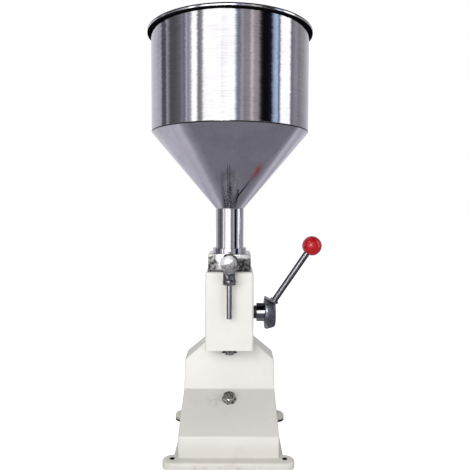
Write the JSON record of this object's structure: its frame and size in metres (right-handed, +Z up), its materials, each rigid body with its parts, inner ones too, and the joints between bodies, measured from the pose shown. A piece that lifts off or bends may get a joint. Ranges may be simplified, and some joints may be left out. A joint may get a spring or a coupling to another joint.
{
  "type": "manual filling machine",
  "caption": "Bench-top manual filling machine: open steel hopper over a ball-valve block and piston pump, worked by a rack and pinion from a side handle with a ball knob, on a bolt-down base.",
  "frame": {"origin": "centre of the base bolt pattern on the underside of the base plate", "axes": "+Z up along the hopper; -Y to the front, where the nozzle is; +X to the handle side"},
  "size_m": [0.2897, 0.272, 0.6818],
  "materials": {
    "cream_paint": "semi-gloss cream paint",
    "polished_steel": "polished stainless steel",
    "valve_steel": "machined and polished stainless steel",
    "dark_steel": "dark oiled steel",
    "screw_steel": "plain steel fasteners",
    "machined_steel": "machined steel",
    "spring_steel": "spring wire",
    "bronze": "bearing bronze",
    "black_bush": "black bearing plastic",
    "red_gloss": "glossy red plastic",
    "seal_rubber": "food-grade rubber"
  },
  "bodies": {
    "frame": {"base_plate": "cream_paint", "pedestal_shell": "cream_paint", "stage_pillar": "machined_steel", "stage_washer": "screw_steel", "stage_bolt": "screw_steel", "column_housing": "cream_paint", "column_floor": "machined_steel", "column_bolts": "screw_steel", "column_nuts": "screw_steel", "dose_lock_nut": "screw_steel", "pump_cylinder": "machined_steel", "cylinder_seal": "seal_rubber", "rod_guide": "bronze", "guide_bracket": "machined_steel", "shaft_bush_left": "black_bush", "shaft_bush_right": "black_bush", "valve_block": "valve_steel", "block_screws": "screw_steel", "suction_seat": "valve_steel", "suction_spring": "spring_steel", "spring_retainer": "valve_steel", "neck_collar": "polished_steel", "neck_seal": "seal_rubber", "hopper_neck": "polished_steel", "hopper_cone": "polished_steel", "hopper_bowl": "polished_steel", "rim_bead": "polished_steel", "discharge_flange": "valve_steel", "discharge_cap": "valve_steel", "discharge_spring": "spring_steel", "nozzle_nut": "valve_steel", "nozzle_seal": "seal_rubber", "nozzle_tube": "valve_steel"},
    "handle": {"pinion": "machined_steel", "pinion_key": "screw_steel", "handle_shaft": "machined_steel", "shaft_rings": "screw_steel", "shaft_collar": "dark_steel", "handle_hub": "dark_steel", "hub_screw": "dark_steel", "handle_rod": "dark_steel", "handle_lock_nut": "dark_steel", "ball_knob": "red_gloss"},
    "plunger": {"rack_rod": "machined_steel", "piston": "machined_steel", "piston_seals": "seal_rubber", "piston_screw": "screw_steel"},
    "dose_stop": {"dose_screw": "screw_steel"},
    "suction_check": {"suction_ball": "valve_steel"},
    "discharge_check": {"discharge_ball": "valve_steel"}
  },
  "joints": [
    {"name": "handle_swing", "type": "hinge", "parent": "frame", "child": "handle", "pos_m": [0, 0.003, 0.22], "axis": [1, 0, 0], "range_deg": [0, 125]},
    {"name": "plunger_slide", "type": "slide", "parent": "frame", "child": "plunger", "axis": [0, 0, 1], "range_m": [0, 0.0328]},
    {"name": "dose_adjust", "type": "slide", "parent": "frame", "child": "dose_stop", "axis": [0, 0, 1], "range_m": [-0.006, 0]},
    {"name": "suction_lift", "type": "slide", "parent": "frame", "child": "suction_check", "axis": [0, 0, 1], "range_m": [-0.003, 0], "stiffness_N_per_m": 200, "springref_m": 0.003, "deforming": ["suction_spring"]},
    {"name": "discharge_lift", "type": "slide", "parent": "frame", "child": "discharge_check", "axis": [0, 0, 1], "range_m": [-0.003, 0], "stiffness_N_per_m": 200, "springref_m": 0.003, "deforming": ["discharge_spring"]}
  ],
  "couplings": [
    {"joint": "plunger_slide", "follows": "handle_swing", "m_per_rad": 0.015}
  ]
}
